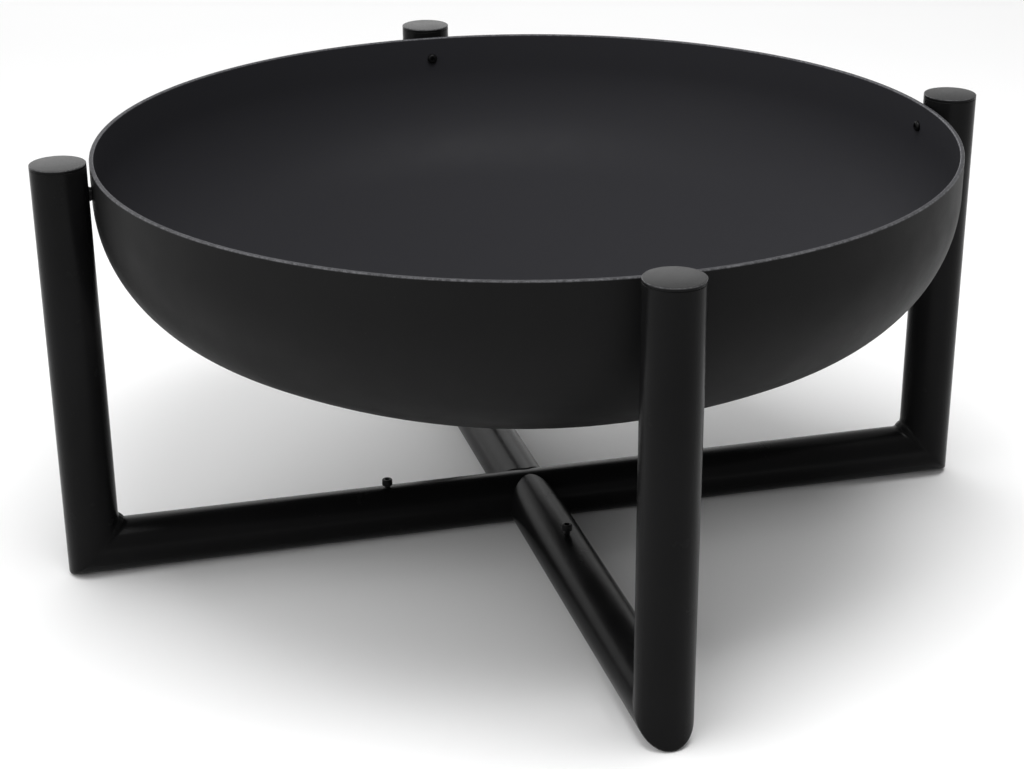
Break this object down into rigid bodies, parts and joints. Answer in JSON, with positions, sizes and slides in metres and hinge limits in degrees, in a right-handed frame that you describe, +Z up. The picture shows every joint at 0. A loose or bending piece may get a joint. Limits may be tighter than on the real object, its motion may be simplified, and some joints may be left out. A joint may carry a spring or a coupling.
{
  "type": "fire bowl",
  "caption": "Shallow dished steel fire bowl bolted between the posts of a low tubular cross stand, for an open wood or charcoal fire outdoors.",
  "frame": {"origin": "on the ground, under the middle of the crossing of the stand", "axes": "+Z up; +X along the left-right beam towards the right post; -Y towards the front post"},
  "size_m": [0.9002, 0.9002, 0.4],
  "materials": {
    "bowl_coat": "satin black heat-resistant coating, fine grain",
    "stand_coat": "satin black powder coat",
    "spigot_coat": "thin black dip coat, rubbed where the arms slide",
    "black_screws": "black oxide, lightly oiled",
    "zinc_nuts": "zinc plated"
  },
  "bodies": {
    "root": {"bowl": "bowl_coat", "post_left": "stand_coat", "post_right": "stand_coat", "post_front": "stand_coat", "post_rear": "stand_coat", "post_cap_left": "stand_coat", "post_cap_right": "stand_coat", "post_cap_front": "stand_coat", "post_cap_rear": "stand_coat", "arm_left": "stand_coat", "arm_right": "stand_coat", "arm_front": "stand_coat", "arm_rear": "stand_coat", "spigot_beam": "spigot_coat", "spigot_front": "spigot_coat", "spigot_rear": "spigot_coat", "bowl_bolts": "black_screws", "arm_lock_screws": "black_screws", "bowl_spacer_washers": "black_screws", "post_rivet_nuts": "black_screws", "spigot_nuts": "zinc_nuts"}
  },
  "joints": []
}
